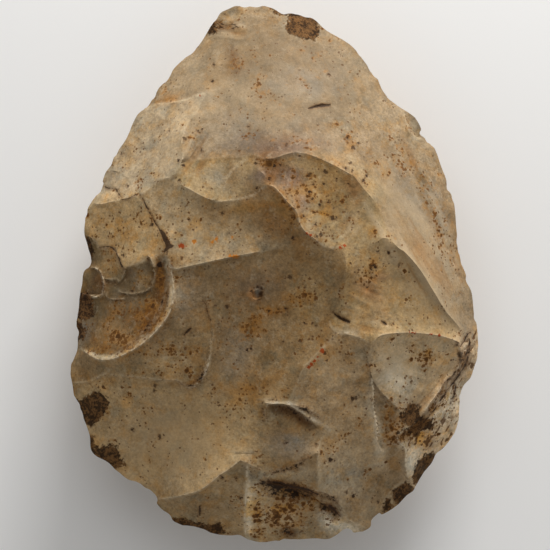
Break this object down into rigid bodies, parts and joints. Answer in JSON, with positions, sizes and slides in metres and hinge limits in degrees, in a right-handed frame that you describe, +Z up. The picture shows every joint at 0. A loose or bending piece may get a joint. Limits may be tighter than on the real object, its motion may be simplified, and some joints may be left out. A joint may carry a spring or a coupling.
{
  "type": "stone hand axe",
  "caption": "Knapped flint hand axe, egg-shaped in plan with a blunt tip, a sharp wavy rim and hollow flake scars between crisp ridges.",
  "frame": {"origin": "bottom centre of the bounding box, on the plane that the piece rests on", "axes": "+Y towards the tip, +X towards the right rim seen from above with the tip away, +Z up out of the upper face"},
  "size_m": [0.0948, 0.125, 0.0386],
  "materials": {
    "flint": "matt cream to grey-beige patina over flint, spotted with rust and brown earth, with brown cortex along parts of the rim"
  },
  "bodies": {
    "root": {"hand_axe": "flint"}
  },
  "joints": []
}
